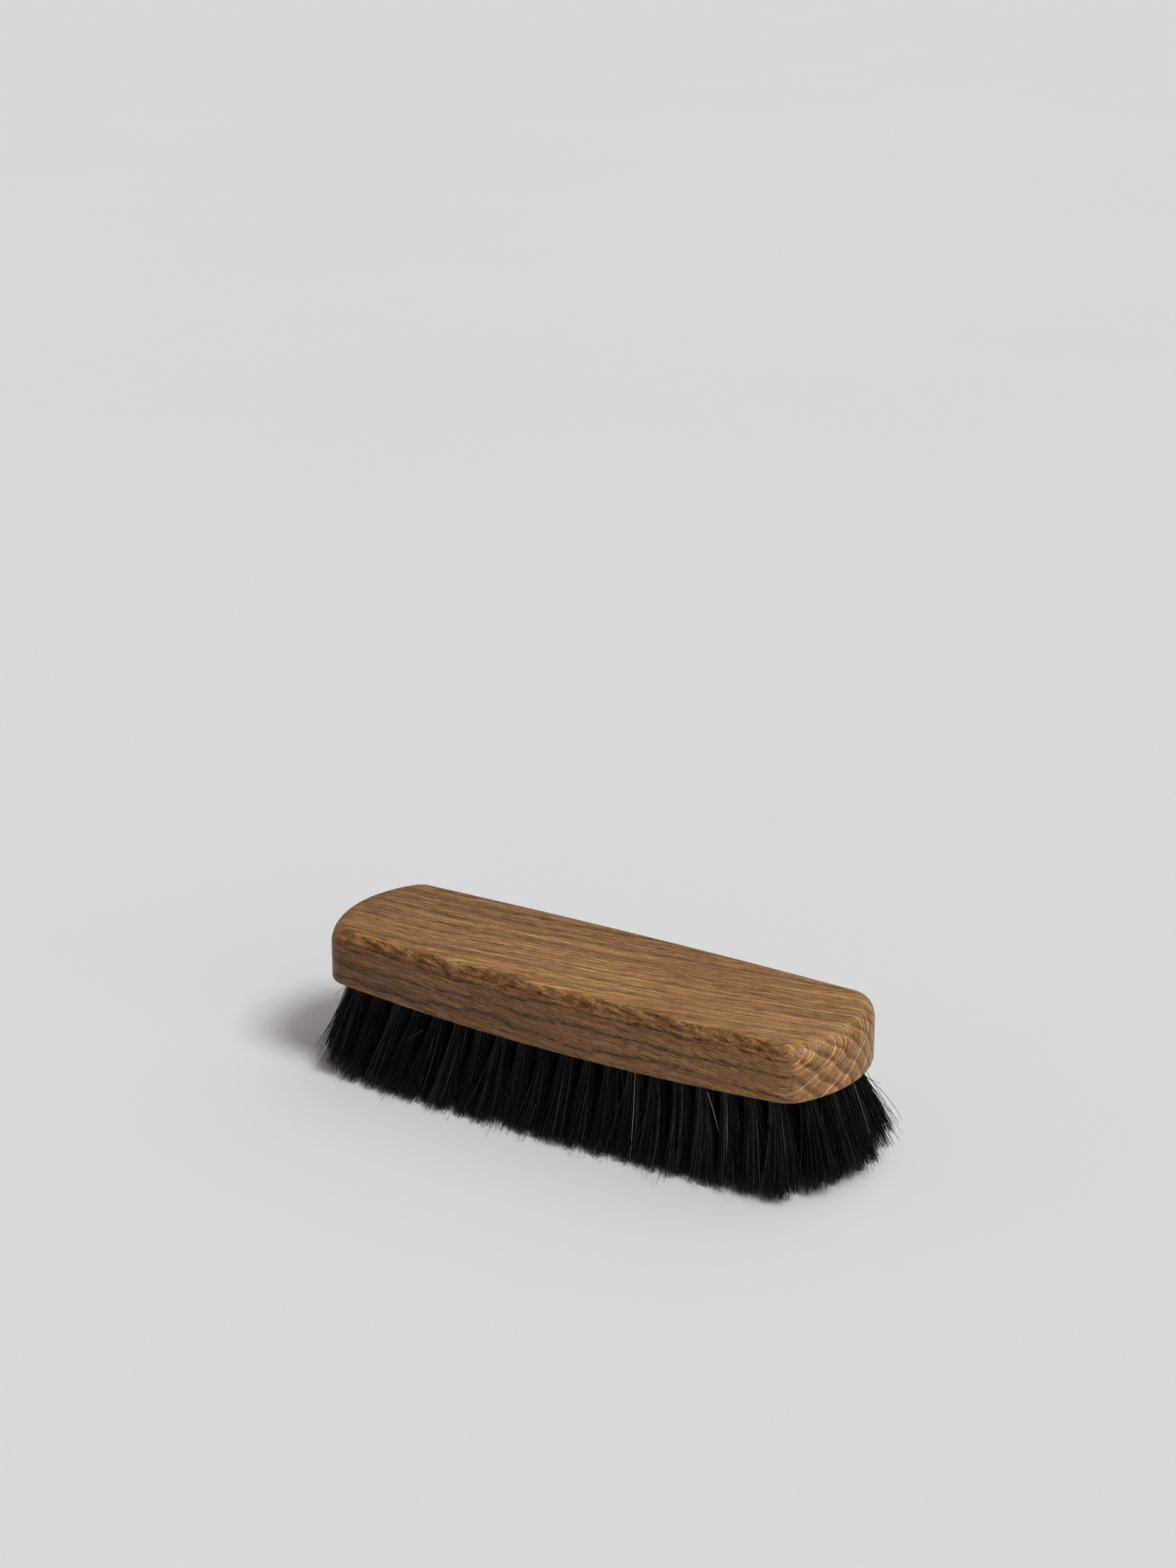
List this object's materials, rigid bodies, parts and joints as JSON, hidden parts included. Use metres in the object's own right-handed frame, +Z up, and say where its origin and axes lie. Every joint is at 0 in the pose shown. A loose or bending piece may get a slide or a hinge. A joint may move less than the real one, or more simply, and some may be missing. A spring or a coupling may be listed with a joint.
{
  "type": "clothes brush",
  "caption": "Handleless clothes brush: an oiled oak block with a flat back and bowed underside, set with rows of black horsehair tufts that fan out at both ends.",
  "frame": {"origin": "under the middle of the block, on the plane of the hair tips that the brush stands on", "axes": "+X along the brush's length, +Y across its width, +Z up out of the flat wooden back"},
  "size_m": [0.1812, 0.0562, 0.0437],
  "materials": {
    "oiled_oak": "oiled, satin",
    "black_horsehair": "glossy straight hair",
    "anchor_steel": "drawn wire, plain"
  },
  "bodies": {
    "root": {"anchor_row_01": "anchor_steel", "anchor_row_02": "anchor_steel", "anchor_row_03": "anchor_steel", "anchor_row_04": "anchor_steel", "anchor_row_05": "anchor_steel", "anchor_row_06": "anchor_steel", "anchor_row_07": "anchor_steel", "anchor_row_08": "anchor_steel", "anchor_row_09": "anchor_steel", "anchor_row_10": "anchor_steel", "anchor_row_11": "anchor_steel", "anchor_row_12": "anchor_steel", "anchor_row_13": "anchor_steel", "anchor_row_14": "anchor_steel", "anchor_row_15": "anchor_steel", "anchor_row_16": "anchor_steel", "anchor_row_17": "anchor_steel", "anchor_row_18": "anchor_steel", "anchor_row_19": "anchor_steel", "anchor_row_20": "anchor_steel", "oak_body": "oiled_oak", "tuft_row_01": "black_horsehair", "tuft_row_02": "black_horsehair", "tuft_row_03": "black_horsehair", "tuft_row_04": "black_horsehair", "tuft_row_05": "black_horsehair", "tuft_row_06": "black_horsehair", "tuft_row_07": "black_horsehair", "tuft_row_08": "black_horsehair", "tuft_row_09": "black_horsehair", "tuft_row_10": "black_horsehair", "tuft_row_11": "black_horsehair", "tuft_row_12": "black_horsehair", "tuft_row_13": "black_horsehair", "tuft_row_14": "black_horsehair", "tuft_row_15": "black_horsehair", "tuft_row_16": "black_horsehair", "tuft_row_17": "black_horsehair", "tuft_row_18": "black_horsehair", "tuft_row_19": "black_horsehair", "tuft_row_20": "black_horsehair"}
  },
  "joints": []
}
